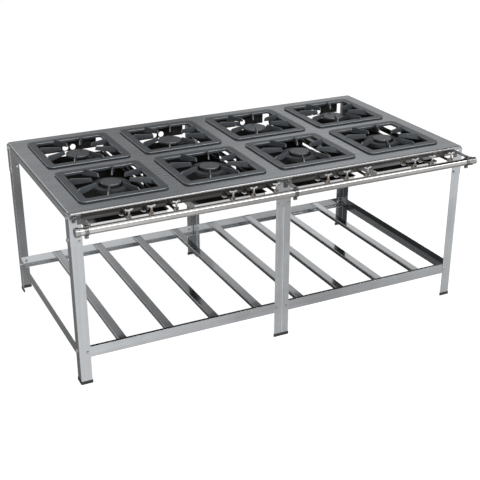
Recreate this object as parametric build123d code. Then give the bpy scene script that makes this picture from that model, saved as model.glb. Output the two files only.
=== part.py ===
"""Free-standing industrial gas stove with columns of two burners on an open frame of bent angles.

Millimetres, +Z up. The origin is on the floor, under the middle of the stove's box. The gas tube, the valves
and the fronts of the drip trays are on the -Y side. A column's front burner is a ring burner round a centre
burner, and its back burner is a single one.
"""
from build123d import *
import math
import os

# Table
TABLE_WIDTH = 1960.0
TABLE_DEPTH = 1030.0
TABLE_HEIGHT = 800.0
TABLE_SHEET = 1.5
SKIRT_DEPTH = 38.0
SKIRT_BEND = 9.0
SKIRT_CORNER = 14.0

# Burner grid
COLUMNS = 4
ROWS = 2
COLUMN_GAP_SHARE = 7 / 36
ROW_GAP_SHARE = 7 / 23

# Grates
GRATE_SIDE = 400.0
GRATE_CORNER = 30.0
GRATE_RIM = 37.0
GRATE_RIM_HEIGHT = 8.0
GRATE_RIM_ROUND = 3.0
GRATE_FOOT_HEIGHT = 3.5
GRATE_FOOT_SETBACK = 6.0
GRATE_SEAT = 19.0
GRATE_LIP_DROP = 4.0
GRATE_LIP_GAP = 3.0
GRATE_INNER_CORNER = 10.0
FIN_COUNT = 8
FIN_RISE = 18.0
FIN_TIP_RADIUS = 79.0
FIN_TIP_HEIGHT = 17.0
FIN_TIP_SLOPE = 5.0
FIN_ROOT_SLOPE = 16.0
FIN_ROOT_DEPTH = 12.0
FIN_ROOT_DROP = 14.0
FIN_BASE = 9.0
FIN_CREST = 4.5

# Legs
LEG_FLANGE = 50.0
LEG_SHEET = 2.0
LEG_BEND = 4.0
LEG_TOP_GAP = 1.0
MIDDLE_FLANGE = 36.5
FOOT_HEIGHT = 14.0
FOOT_FLOOR = 4.0
FOOT_WALL = 1.5
FOOT_CLEARANCE = 0.3

# Plates that join the leg tops to the skirt
POST_SHEET = 1.5
POST_BEND = 4.0
POST_DROP = 144.0
MIDDLE_PLATE_WIDTH = 72.0

# Shelf
SHELF_HEIGHT = 126.0
RAIL_HEIGHT = 50.0
RAIL_FLANGE = 25.0
RAIL_SHEET = 2.0
RAIL_BEND = 3.5
RAIL_END_GAP = 1.0
SLAT_COUNT = 8
SLAT_PITCH = 222.0
SLAT_WIDTH = 40.0
SLAT_HEIGHT = 18.0
SLAT_SHEET = 1.5
SLAT_BEND = 3.0
SLAT_SINK = 3.0

# Frame bolts
BOLT_RADIUS = 4.0
BOLT_CLEARANCE = 0.3
BOLT_ACROSS_FLATS = 13.0
BOLT_HEAD = 5.0
BOLT_NUT = 6.5
BOLT_TAIL = 2.0
LEG_BOLT_INSET = 38.0
LEG_BOLT_RISE = 16.0
SKIRT_BOLT_INSET = 24.0
MIDDLE_BOLT_INSET = 26.0

# Gas tube
TUBE_RADIUS = 16.7
TUBE_WALL = 2.6
TUBE_OFFSET = 90.0
TUBE_DROP = 46.0
TUBE_OVERRUN = 6.0
BOSS_RADIUS = 9.0
BOSS_LENGTH = 6.0
FITTING_RADIUS = 20.5
FITTING_CHAMFER = 2.0
SPIGOT_CLEARANCE = 0.3
SPIGOT_LENGTH = 16.0
PLUG_LENGTH = 20.0
INLET_COLLAR_LENGTH = 12.0
INLET_NIPPLE_LENGTH = 18.0
INLET_BORE = 10.0

# Clamps and brackets of the gas tube
CLAMP_WIDTH = 16.0
CLAMP_SHEET = 3.0
CLAMP_CLEARANCE = 0.1
CLAMP_PAD = 3.0
CLAMP_EAR = 12.0
CLAMP_GAP = 3.0
BRACKET_WIDTH = 20.0
BRACKET_BOLT_GAP = 1.0
BRACKET_SHEET = 3.0
BRACKET_TAB = 30.0
BRACKET_NOSE = 13.0
SCREW_RADIUS = 2.5
SCREW_CLEARANCE = 0.3
SCREW_ACROSS_FLATS = 9.0
SCREW_HEAD = 4.0
SCREW_DEPTH = 4.0

# Valves
VALVE_OFFSET = 50.0
VALVE_X_CENTRE = -38.0
VALVE_X_RING = 60.0
VALVE_X_BACK = 170.0
VALVE_TOP_RADIUS = 10.5
VALVE_BOTTOM_RADIUS = 8.0
VALVE_RISE = 14.0
VALVE_SINK = 12.0
VALVE_INLET_RADIUS = 6.5
VALVE_OUTLET_FLATS = 15.0
VALVE_OUTLET_LENGTH = 20.0
SPINDLE_RADIUS = 3.5
SPINDLE_CLEARANCE = 0.05
SPINDLE_DEPTH = 14.0
HANDLE_LENGTH = 36.0
HANDLE_WIDTH = 8.0
HANDLE_THICK = 8.0
HANDLE_ROUND = 2.0
HANDLE_RISE = 3.5
HANDLE_HUB_RADIUS = 4.5
HANDLE_HUB_HEIGHT = 24.0

# Supply pipes and injectors
PIPE_RADIUS = 5.0
BACK_PIPE_RADIUS = 6.35
BACK_PIPE_LEAD = 40.0
BACK_PIPE_BEND = 25.0
INJECTOR_LENGTH = 16.0
INJECTOR_FLATS = 11.0
INJECTOR_HEX = 6.0
INJECTOR_TIP_RADIUS = 3.0
INJECTOR_REACH = 5.0

# Burners
VENTURI_SETBACK = 35.0
VENTURI_RADIUS = 12.0
VENTURI_BORE = 8.5
VENTURI_BORE_DEPTH = 70.0
MOUTH_RADIUS = 17.5
MOUTH_WALL = 2.5
MOUTH_LENGTH = 30.0
BOWL_WALL = 5.0
CENTRE_TOP_DROP = 8.5
CENTRE_BOWL_RADIUS = 42.0
CENTRE_FOOT_RADIUS = 24.0
CENTRE_RUN = 135.0
CENTRE_TURN = 60.0
RING_TOP_DROP = 10.0
RING_HEIGHT = 17.0
RING_INNER_RADIUS = 56.0
RING_OUTER_RADIUS = 85.5
RING_ROUND = 3.0
RING_PORTS = 32
RING_RISER_RADIUS = 11.0
RING_LEG_RADIUS = 6.0
BACK_TOP_DROP = 21.0
BACK_BOWL_RADIUS = 52.0
BACK_FOOT_RADIUS = 27.0
BACK_MOUTH_X = 110.0
BACK_MOUTH_AHEAD = 5.0
BACK_ELBOW_BEHIND = 22.0
BACK_TURN = 18.0

# Burner caps
CENTRE_CAP_RADIUS = 45.0
BACK_CAP_RADIUS = 59.0
CAP_THICK = 10.0
CAP_ROUND = 2.5
CAP_BOSS_DEPTH = 6.0
CAP_BOSS_CLEARANCE = 0.6
CAP_PORTS = 28
PORT_WIDTH = 2.4
PORT_HEIGHT = 3.0
PORT_DEPTH = 3.0

# Drip trays and their runners
TRAY_LENGTH = 879.0
TRAY_HEIGHT = 35.0
TRAY_SHEET = 1.2
TRAY_FLANGE = 10.0
TRAY_CORNER = 6.0
TRAY_BEND = 3.0
TRAY_SETBACK = 54.0
TRAY_DROP = 82.0
RUNNER_SHEET = 2.0
RUNNER_SIDE_GAP = 4.0
RUNNER_LEDGE = 12.0
RUNNER_SETBACK = 120.0
RUNNER_END_GAP = 4.0

# Burner straps, the side bars that carry them and the side plates of bars and runners
STRAP_WIDTH = 25.0
STRAP_THICK = 3.0
MOUTH_STRAP_GAP = 0.5
SIDE_BAR_HEIGHT = 28.0
SIDE_BAR_BELOW = 3.0
PLATE_SHEET = 2.0
PLATE_HOLE_GAP = 7.0
PLATE_FLANGE = 20.0
PLATE_END_FOOT = 30.0
PLATE_WINDOW_FOOT = 150.0
SIDE_WINDOW = 190.0
SIDE_WINDOW_AHEAD = 32.0

# Upright plates behind the back burners
VENT_GAP = 19.0
VENT_SHEET = 1.5
VENT_WIDTH = 304.0
VENT_DROP = 64.0
VENT_FLANGE = 20.0
VENT_HOLE_RADIUS = 14.5
VENT_HOLE_SPACING = 38.0
VENT_HOLE_X = 12.0
VENT_HOLE_DROP = 46.0

# Room for cuts that run past a face
OVERCUT = 5.0

# Places worked out from the sizes
FRONT_REACH = TUBE_OFFSET + FITTING_RADIUS
BACK_REACH = POST_SHEET + BOLT_HEAD
TABLE_Y = (FRONT_REACH - BACK_REACH) / 2
FRONT_Y = TABLE_Y - TABLE_DEPTH / 2
BACK_Y = TABLE_Y + TABLE_DEPTH / 2
SIDE_X = TABLE_WIDTH / 2
UNDERSIDE = TABLE_HEIGHT - TABLE_SHEET
SKIRT_LOW = TABLE_HEIGHT - SKIRT_DEPTH
SKIRT_BOLT_Z = TABLE_HEIGHT - (SKIRT_DEPTH + SKIRT_BEND) / 2 - POST_SHEET
POST_HIGH = TABLE_HEIGHT - SKIRT_BEND - POST_SHEET
POST_LOW = TABLE_HEIGHT - POST_DROP
LEG_BOLT_Z = POST_LOW + LEG_BOLT_RISE
LEG_HIGH = SKIRT_LOW - LEG_TOP_GAP
RAIL_BOLT_Z = SHELF_HEIGHT + RAIL_HEIGHT / 2
TABLE_HOLE = GRATE_SIDE - 2 * GRATE_SEAT
GRATE_OPENING = GRATE_SIDE - 2 * GRATE_RIM
HOLE_CORNER = GRATE_INNER_CORNER + GRATE_LIP_GAP + (TABLE_HOLE - GRATE_OPENING) / 2
TUBE_Y = FRONT_Y - TUBE_OFFSET
TUBE_Z = TABLE_HEIGHT - TUBE_DROP
TUBE_BORE = TUBE_RADIUS - TUBE_WALL
TUBE_LEFT = -SIDE_X - TUBE_OVERRUN + PLUG_LENGTH
TUBE_RIGHT = SIDE_X + TUBE_OVERRUN - INLET_COLLAR_LENGTH - INLET_NIPPLE_LENGTH
VALVE_Y = FRONT_Y - VALVE_OFFSET
VALVE_OUTLET_Y = VALVE_Y + VALVE_OUTLET_LENGTH
MOUTH_Y = FRONT_Y + VENTURI_SETBACK
BURNER_LOW = TUBE_Z - MOUTH_RADIUS - MOUTH_STRAP_GAP
COLUMN_PITCH = GRATE_SIDE + COLUMN_GAP_SHARE * (TABLE_WIDTH - COLUMNS * GRATE_SIDE)
ROW_PITCH = GRATE_SIDE + ROW_GAP_SHARE * (TABLE_DEPTH - ROWS * GRATE_SIDE)
FRONT_ROW_Y = TABLE_Y - ROW_PITCH / 2
BACK_ROW_Y = TABLE_Y + ROW_PITCH / 2
BACK_MOUTH_Y = BACK_ROW_Y - BACK_MOUTH_AHEAD
CENTRE_TOP = TABLE_HEIGHT - CENTRE_TOP_DROP
RING_TOP = TABLE_HEIGHT - RING_TOP_DROP
BACK_TOP = TABLE_HEIGHT - BACK_TOP_DROP
TRAY_TOP = TABLE_HEIGHT - TRAY_DROP
VENT_Y = BACK_ROW_Y + TABLE_HOLE / 2 + VENT_GAP
PLATE_X = TABLE_HOLE / 2 + PLATE_HOLE_GAP
RUNNER_X = PLATE_X - RUNNER_SHEET
TRAY_WIDTH = 2 * (RUNNER_X - RUNNER_SIDE_GAP - TRAY_FLANGE)
RUNNER_FRONT = FRONT_Y + RUNNER_SETBACK
RUNNER_BACK = VENT_Y - RUNNER_END_GAP
LEDGE_TOP = TRAY_TOP - TRAY_SHEET
LEDGE_LOW = LEDGE_TOP - RUNNER_SHEET
SIDE_BAR_LOW = BURNER_LOW - STRAP_THICK - SIDE_BAR_BELOW
SIDE_WINDOW_FRONT = TABLE_Y - SIDE_WINDOW_AHEAD - SIDE_WINDOW / 2
SIDE_WINDOW_BACK = SIDE_WINDOW_FRONT + SIDE_WINDOW
COLUMN_XS = [(n - (COLUMNS - 1) / 2) * COLUMN_PITCH for n in range(COLUMNS)]
SLAT_XS = [(n - (SLAT_COUNT - 1) / 2) * SLAT_PITCH for n in range(SLAT_COUNT)]
VALVE_XS = {"centre": VALVE_X_CENTRE, "ring": VALVE_X_RING, "back": VALVE_X_BACK}
CORNERS = {
    "front_left": Pos(-SIDE_X, FRONT_Y, 0),
    "front_right": Pos(SIDE_X, FRONT_Y, 0) * Rot(0, 0, 90),
    "back_right": Pos(SIDE_X, BACK_Y, 0) * Rot(0, 0, 180),
    "back_left": Pos(-SIDE_X, BACK_Y, 0) * Rot(0, 0, 270),
}
MIDDLES = {"front": Pos(0, FRONT_Y, 0), "back": Pos(0, BACK_Y, 0) * Rot(0, 0, 180)}
INWARD = Rot(-90, 0, 0)
SIDEWAYS = Rot(0, 90, 0)
BOTTOM = (Align.CENTER, Align.CENTER, Align.MIN)
POST_GRIP = POST_SHEET + LEG_SHEET
SKIRT_GRIP = POST_SHEET + TABLE_SHEET
RAIL_GRIP = LEG_SHEET + RAIL_SHEET
DRILL_REACH = POST_GRIP + SKIRT_GRIP + RAIL_GRIP + OVERCUT
BOLT_HEAD_RADIUS = BOLT_ACROSS_FLATS / math.sqrt(3)
BRACKET_SHIFT = BOLT_HEAD_RADIUS + BRACKET_BOLT_GAP + BRACKET_WIDTH / 2
SIDE_CLAMP_X = SIDE_X - SKIRT_BOLT_INSET - BRACKET_SHIFT
CLAMP_XS = (-SIDE_CLAMP_X, MIDDLE_BOLT_INSET - BRACKET_SHIFT, SIDE_CLAMP_X)
CLAMP_TOP = TUBE_Z + TUBE_RADIUS + CLAMP_SHEET + CLAMP_PAD
PINCH_Z = TUBE_Z - TUBE_RADIUS - CLAMP_SHEET - CLAMP_EAR / 2
EAR_SPREAD = CLAMP_GAP / 2 + CLAMP_SHEET
VALVE_TOP = TUBE_Z + VALVE_RISE


def save(node, solids):
    """Writes one node as a STEP file of separate solids."""
    os.makedirs("parts", exist_ok=True)
    export_step(Compound(children=[s.solid() for s in solids]), os.path.join("parts", node + ".step"))


def span(low, high):
    """Box between two corners."""
    size = [h - l for l, h in zip(low, high)]
    middle = [(h + l) / 2 for l, h in zip(low, high)]
    return Pos(*middle) * Box(*size)


def angle_bar(first, second, sheet, bend, length):
    """Bent angle along Z with its outer corner on the Z axis, one flange along X and one along Y."""
    points = [(0, 0), (first, 0), (first, sheet), (sheet, sheet), (sheet, second), (0, second)]
    section = make_face(Polyline(*points, close=True))
    section = fillet(section.vertices().sort_by_distance((0, 0, 0))[0], bend)
    inner_bend = bend - sheet
    if inner_bend > 0:
        section = fillet(section.vertices().sort_by_distance((sheet, sheet, 0))[0], inner_bend)
    return extrude(section, length)


def hexagon_bar(across_flats, length):
    return extrude(RegularPolygon(across_flats / 2, 6, major_radius=False), length)


def bolt(grip):
    """Bolt along +Z through a grip that starts at Z = 0, with its head below and its nut above."""
    head = Pos(0, 0, -BOLT_HEAD) * hexagon_bar(BOLT_ACROSS_FLATS, BOLT_HEAD)
    nut = Pos(0, 0, grip) * hexagon_bar(BOLT_ACROSS_FLATS, BOLT_NUT)
    return head + nut + Cylinder(BOLT_RADIUS, grip + BOLT_NUT + BOLT_TAIL, align=BOTTOM)


def drill():
    """Bolt hole through every sheet at a bolt's place."""
    return Cylinder(BOLT_RADIUS + BOLT_CLEARANCE, 2 * DRILL_REACH)


# Bolt places. Each is a place with +Z along the bolt, and the grip of the sheets it holds.

def flange_pair(inset, z, depth):
    """The two bolt places of a corner, one on each flange, in the corner's own frame."""
    return [Pos(inset, depth, z) * INWARD, Pos(depth, inset, z) * SIDEWAYS]


CORNER_POST_BOLTS = flange_pair(LEG_BOLT_INSET, LEG_BOLT_Z, -POST_SHEET)
CORNER_SKIRT_BOLTS = flange_pair(SKIRT_BOLT_INSET, SKIRT_BOLT_Z, -POST_SHEET)
CORNER_RAIL_BOLTS = flange_pair(LEG_BOLT_INSET, RAIL_BOLT_Z, 0)
MIDDLE_XS = (-MIDDLE_BOLT_INSET, MIDDLE_BOLT_INSET)
MIDDLE_POST_BOLTS = [Pos(x, -POST_SHEET, LEG_BOLT_Z) * INWARD for x in MIDDLE_XS]
MIDDLE_SKIRT_BOLTS = [Pos(x, -POST_SHEET, SKIRT_BOLT_Z) * INWARD for x in MIDDLE_XS]
MIDDLE_RAIL_BOLTS = [Pos(x, 0, RAIL_BOLT_Z) * INWARD for x in MIDDLE_XS]
CORNER_BOLTS = [
    (CORNER_POST_BOLTS, POST_GRIP),
    (CORNER_SKIRT_BOLTS, SKIRT_GRIP),
    (CORNER_RAIL_BOLTS, RAIL_GRIP),
]
MIDDLE_BOLTS = [
    (MIDDLE_POST_BOLTS, POST_GRIP),
    (MIDDLE_SKIRT_BOLTS, SKIRT_GRIP),
    (MIDDLE_RAIL_BOLTS, RAIL_GRIP),
]


def placed(frames, places):
    return [frame * place for frame in frames.values() for place in places]


def drills(places):
    return [place * drill() for place in places]


def frame_bolts():
    corner = [place * bolt(grip) for places, grip in CORNER_BOLTS for place in placed(CORNERS, places)]
    middle = [place * bolt(grip) for places, grip in MIDDLE_BOLTS for place in placed(MIDDLES, places)]
    return corner + middle


# Table

def rounded_block(width, depth, low, high, corner, bend):
    block = extrude(Pos(0, TABLE_Y, low) * RectangleRounded(width, depth, corner), high - low)
    return fillet(block.faces().sort_by(Axis.Z)[-1].edges(), bend)


def burner_places():
    """Middle of each burner on the floor, front row first."""
    return [(x, y) for y in (FRONT_ROW_Y, BACK_ROW_Y) for x in COLUMN_XS]


def tabletop():
    outer = rounded_block(TABLE_WIDTH, TABLE_DEPTH, SKIRT_LOW, TABLE_HEIGHT, SKIRT_CORNER, SKIRT_BEND)
    inner_width = TABLE_WIDTH - 2 * TABLE_SHEET
    inner_depth = TABLE_DEPTH - 2 * TABLE_SHEET
    inner_corner = SKIRT_CORNER - TABLE_SHEET
    inner_bend = SKIRT_BEND - TABLE_SHEET
    inner = rounded_block(inner_width, inner_depth, SKIRT_LOW - OVERCUT, UNDERSIDE, inner_corner, inner_bend)
    hole = extrude(RectangleRounded(TABLE_HOLE, TABLE_HOLE, HOLE_CORNER), TABLE_HEIGHT - SKIRT_LOW)
    holes = [Pos(x, y, SKIRT_LOW + OVERCUT) * hole for x, y in burner_places()]
    bolt_holes = drills(placed(CORNERS, CORNER_SKIRT_BOLTS) + placed(MIDDLES, MIDDLE_SKIRT_BOLTS))
    return outer - inner - holes - bolt_holes


def leg_top_plates():
    flange = LEG_FLANGE + POST_SHEET
    bar = angle_bar(flange, flange, POST_SHEET, POST_BEND, POST_HIGH - POST_LOW)
    corner = Pos(-POST_SHEET, -POST_SHEET, POST_LOW) * bar
    corner -= drills(CORNER_POST_BOLTS + CORNER_SKIRT_BOLTS)
    half_width = MIDDLE_PLATE_WIDTH / 2
    middle = span((-half_width, -POST_SHEET, POST_LOW), (half_width, 0, POST_HIGH))
    middle -= drills(MIDDLE_POST_BOLTS + MIDDLE_SKIRT_BOLTS)
    return [frame * corner for frame in CORNERS.values()] + [frame * middle for frame in MIDDLES.values()]


# Legs and feet

def corner_leg():
    bar = angle_bar(LEG_FLANGE, LEG_FLANGE, LEG_SHEET, LEG_BEND, LEG_HIGH - FOOT_FLOOR)
    return Pos(0, 0, FOOT_FLOOR) * bar - drills(CORNER_POST_BOLTS + CORNER_RAIL_BOLTS)


def mirrored_pair(right):
    return [right, mirror(right, about=Plane.YZ)]


def middle_leg():
    """Two angles back to back, each with its narrow flange in front."""
    bar = angle_bar(MIDDLE_FLANGE, LEG_FLANGE, LEG_SHEET, LEG_BEND, LEG_HIGH - FOOT_FLOOR)
    right = Pos(0, 0, FOOT_FLOOR) * bar
    return [half - drills(MIDDLE_POST_BOLTS + MIDDLE_RAIL_BOLTS) for half in mirrored_pair(right)]


def foot_cap(first, second, outer_side):
    """End cap over an angle's foot, cut off at the X of its outer side."""

    def grown_angle(grow):
        """The angle's own section, grown outwards all round."""
        wider = 2 * grow
        bar = angle_bar(first + wider, second + wider, LEG_SHEET + wider, LEG_BEND + grow, FOOT_HEIGHT)
        return Pos(-grow, -grow, 0) * bar

    pocket = Pos(0, 0, FOOT_FLOOR) * grown_angle(FOOT_CLEARANCE)
    cap = grown_angle(FOOT_CLEARANCE + FOOT_WALL) - pocket
    reach = first + second
    return cap & span((outer_side, -reach, 0), (reach, reach, FOOT_HEIGHT))


def foot_caps():
    corner = foot_cap(LEG_FLANGE, LEG_FLANGE, -FOOT_CLEARANCE - FOOT_WALL)
    middle = mirrored_pair(foot_cap(MIDDLE_FLANGE, LEG_FLANGE, 0))
    corners = [frame * corner for frame in CORNERS.values()]
    return corners + [frame * half for frame in MIDDLES.values() for half in middle]


# Shelf

def long_rails(frame):
    """The two halves of the front or back rail, in the frame of the middle leg that parts them."""
    start = LEG_BEND + RAIL_END_GAP
    length = SIDE_X - LEG_BEND - RAIL_END_GAP - start
    bar = angle_bar(RAIL_FLANGE, RAIL_HEIGHT, RAIL_SHEET, RAIL_BEND, length)
    right = Plane(origin=(start, LEG_SHEET, SHELF_HEIGHT), x_dir=(0, 1, 0), z_dir=(1, 0, 0)) * bar
    holes = drills(placed(CORNERS, CORNER_RAIL_BOLTS) + placed(MIDDLES, MIDDLE_RAIL_BOLTS))
    return [frame * half - holes for half in mirrored_pair(right)]


def side_rails():
    """Side rails between the long rails, with their flanges cut back to clear the long rails' flanges."""
    inset = LEG_SHEET + RAIL_SHEET + RAIL_END_GAP
    length = TABLE_DEPTH - 2 * inset
    bar = angle_bar(RAIL_FLANGE, RAIL_HEIGHT, RAIL_SHEET, RAIL_BEND, length)
    origin = (-SIDE_X + LEG_SHEET, BACK_Y - inset, SHELF_HEIGHT)
    left = Plane(origin=origin, x_dir=(1, 0, 0), z_dir=(0, -1, 0)) * bar
    notch = LEG_SHEET + RAIL_FLANGE + RAIL_END_GAP
    low = (-SIDE_X, 0, SHELF_HEIGHT - OVERCUT)
    high = (-SIDE_X + 2 * RAIL_FLANGE, notch, SHELF_HEIGHT + RAIL_BEND)
    end_cut = span(low, high)
    left -= [Pos(0, FRONT_Y, 0) * end_cut, Pos(0, BACK_Y - notch, 0) * end_cut]
    left -= drills(placed(CORNERS, CORNER_RAIL_BOLTS))
    return mirrored_pair(left)


def shelf_slats():
    """Channels open below, with their ends bent down against the long rails."""
    inset = LEG_SHEET + RAIL_SHEET
    top = SHELF_HEIGHT + RAIL_HEIGHT - SLAT_SINK
    half_width = SLAT_WIDTH / 2
    outer = span((-half_width, FRONT_Y + inset, top - SLAT_HEIGHT), (half_width, BACK_Y - inset, top))
    long_edges = outer.edges().filter_by(Axis.Y).group_by(Axis.Z)[-1]
    outer = fillet(long_edges, SLAT_BEND)
    inner_half = half_width - SLAT_SHEET
    inner_inset = inset + SLAT_SHEET
    low = (-inner_half, FRONT_Y + inner_inset, top - SLAT_HEIGHT - OVERCUT)
    slat = outer - span(low, (inner_half, BACK_Y - inner_inset, top - SLAT_SHEET))
    return [Pos(x, 0, 0) * slat for x in SLAT_XS]


# Grates

def fin():
    """Upright cast rib along +X, thinner at its crest and lower at its free end."""
    half_angle = math.pi / FIN_COUNT
    root = (GRATE_OPENING / 2 + FIN_ROOT_DEPTH) / math.cos(half_angle)
    low = TABLE_HEIGHT - FIN_ROOT_DROP
    crest = TABLE_HEIGHT + FIN_RISE
    rim_top = TABLE_HEIGHT + GRATE_RIM_HEIGHT - GRATE_RIM_ROUND
    side = [
        (FIN_TIP_RADIUS, crest - FIN_TIP_HEIGHT),
        (root, low),
        (root, rim_top),
        (root - FIN_ROOT_SLOPE, crest),
        (FIN_TIP_RADIUS + FIN_TIP_SLOPE, crest),
    ]
    plate = extrude(Plane.XZ * make_face(Polyline(*side, close=True)), FIN_BASE, both=True)
    section = [(-FIN_BASE / 2, low), (FIN_BASE / 2, low), (FIN_CREST / 2, crest), (-FIN_CREST / 2, crest)]
    wedge = extrude(Plane.YZ * make_face(Polyline(*section, close=True)), root + OVERCUT)
    return plate & wedge


def grate():
    """Cast grate with a rim on a set-back foot, a lip inside the table's hole and radial fins."""
    opening = RectangleRounded(GRATE_OPENING, GRATE_OPENING, GRATE_INNER_CORNER)

    def band(inset, corner, low, high):
        """Square band round the opening, set in from the rim's outline, between heights over the table."""
        side = GRATE_SIDE - 2 * inset
        plan = RectangleRounded(side, side, corner) - opening
        return extrude(Pos(0, 0, TABLE_HEIGHT + low) * plan, high - low)

    rim = band(0, GRATE_CORNER, GRATE_FOOT_HEIGHT, GRATE_RIM_HEIGHT)
    rim = fillet(rim.faces().sort_by(Axis.Z)[-1].edges(), GRATE_RIM_ROUND)
    foot = band(GRATE_FOOT_SETBACK, GRATE_CORNER - GRATE_FOOT_SETBACK, 0, GRATE_FOOT_HEIGHT)
    lip = band(GRATE_SEAT + GRATE_LIP_GAP, HOLE_CORNER - GRATE_LIP_GAP, -GRATE_LIP_DROP, 0)
    turn = 360 / FIN_COUNT
    return rim + foot + lip + [Rot(0, 0, turn * (n + 0.5)) * fin() for n in range(FIN_COUNT)]


# Burners

def along_y(solid, x, y):
    """A solid that is made along +Z, laid along +Y at the height of the gas tube."""
    return Pos(x, y, TUBE_Z) * INWARD * solid


def mouth(x, y):
    """Flared mouth of a mixing tube that faces -Y, and its hollow."""
    flare = Cone(MOUTH_RADIUS, VENTURI_RADIUS, MOUTH_LENGTH, align=BOTTOM)
    funnel = Cone(MOUTH_RADIUS - MOUTH_WALL, VENTURI_BORE, MOUTH_LENGTH, align=BOTTOM)
    bore = Cylinder(VENTURI_BORE, VENTURI_BORE_DEPTH, align=BOTTOM)
    return along_y(flare, x, y), along_y(funnel + bore, x, y)


def bent_tube(start, corner, end, turn):
    """Mixing tube that leaves its start along +Y and turns a corner to its end."""
    points = [(*place, TUBE_Z) for place in (start, corner, end)]
    path = FilletPolyline(*points, radius=turn)
    return sweep(Plane(origin=points[0], z_dir=(0, 1, 0)) * Circle(VENTURI_RADIUS), path=path)


def bowl(x, y, foot_radius, radius, top):
    """Burner bowl, wider at its top, and its hollow."""
    height = top - BURNER_LOW
    outer = Pos(x, y, BURNER_LOW) * Cone(foot_radius, radius, height, align=BOTTOM)
    hollow_height = height - BOWL_WALL
    hollow = Cone(foot_radius - BOWL_WALL, radius - BOWL_WALL, hollow_height, align=BOTTOM)
    return outer, Pos(x, y, BURNER_LOW + BOWL_WALL) * hollow


def centre_burner(x):
    mouth_x = x + VALVE_X_CENTRE
    corner = (mouth_x, MOUTH_Y + CENTRE_RUN)
    tube = bent_tube((mouth_x, MOUTH_Y), corner, (x, FRONT_ROW_Y), CENTRE_TURN)
    flare, bore = mouth(mouth_x, MOUTH_Y)
    outer, hollow = bowl(x, FRONT_ROW_Y, CENTRE_FOOT_RADIUS, CENTRE_BOWL_RADIUS, CENTRE_TOP)
    return outer + tube + flare - hollow - bore


def port_slots(count, radius, depth, z):
    """Radial slots round a rim, cut inwards and upwards from a radius and a height."""
    slot = Pos(radius - depth / 2, 0, z + PORT_HEIGHT / 2) * Box(depth, PORT_WIDTH, PORT_HEIGHT)
    return [Rot(0, 0, n * 360 / count) * slot for n in range(count)]


def ring_burner(x):
    """Ring on two legs, with a riser from its straight mixing tube."""
    ring_low = RING_TOP - RING_HEIGHT
    ring = Cylinder(RING_OUTER_RADIUS, RING_HEIGHT, align=BOTTOM)
    ring -= Cylinder(RING_INNER_RADIUS, RING_HEIGHT, align=BOTTOM)
    ring = fillet(ring.faces().sort_by(Axis.Z)[-1].edges(), RING_ROUND)
    port_low = RING_HEIGHT - RING_ROUND - 2 * PORT_HEIGHT
    ring -= port_slots(RING_PORTS, RING_OUTER_RADIUS, PORT_DEPTH, port_low)
    middle_radius = (RING_INNER_RADIUS + RING_OUTER_RADIUS) / 2
    leg_height = ring_low - BURNER_LOW + RING_ROUND
    leg = Cylinder(RING_LEG_RADIUS, leg_height, align=BOTTOM)
    legs = [Pos(x + side * middle_radius, FRONT_ROW_Y, BURNER_LOW) * leg for side in (-1, 1)]
    riser_ahead = math.sqrt(middle_radius**2 - VALVE_X_RING**2)
    riser_y = FRONT_ROW_Y - riser_ahead
    mouth_x = x + VALVE_X_RING
    tube = along_y(Cylinder(VENTURI_RADIUS, riser_y - MOUTH_Y, align=BOTTOM), mouth_x, MOUTH_Y)
    riser = Cylinder(RING_RISER_RADIUS, ring_low + RING_ROUND - TUBE_Z, align=BOTTOM)
    riser = Pos(mouth_x, riser_y, TUBE_Z) * riser
    flare, bore = mouth(mouth_x, MOUTH_Y)
    return Pos(x, FRONT_ROW_Y, ring_low) * ring + legs + tube + flare + riser - bore


def back_burner(x):
    mouth_x = x + BACK_MOUTH_X
    corner = (mouth_x, BACK_ROW_Y + BACK_ELBOW_BEHIND)
    tube = bent_tube((mouth_x, BACK_MOUTH_Y), corner, (x, BACK_ROW_Y), BACK_TURN)
    flare, bore = mouth(mouth_x, BACK_MOUTH_Y)
    outer, hollow = bowl(x, BACK_ROW_Y, BACK_FOOT_RADIUS, BACK_BOWL_RADIUS, BACK_TOP)
    return outer + tube + flare - hollow - bore


def burner_cap(radius, foot_radius, bowl_radius, bowl_top):
    """Flat round cap with flame slots under its edge and a boss that follows the bowl's hollow."""
    disc = Cylinder(radius, CAP_THICK, align=BOTTOM)
    disc = fillet(disc.faces().sort_by(Axis.Z)[-1].edges(), CAP_ROUND)
    boss_radius = bowl_radius - BOWL_WALL - CAP_BOSS_CLEARANCE
    slot_end = boss_radius + CAP_BOSS_CLEARANCE / 2
    disc -= port_slots(CAP_PORTS, radius, radius - slot_end, 0)
    taper = (bowl_radius - foot_radius) / (bowl_top - BURNER_LOW - BOWL_WALL)
    boss = Cone(boss_radius - CAP_BOSS_DEPTH * taper, boss_radius, CAP_BOSS_DEPTH, align=BOTTOM)
    return Pos(0, 0, bowl_top) * (disc + Pos(0, 0, -CAP_BOSS_DEPTH) * boss)


# Drip trays, runners and straps

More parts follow.
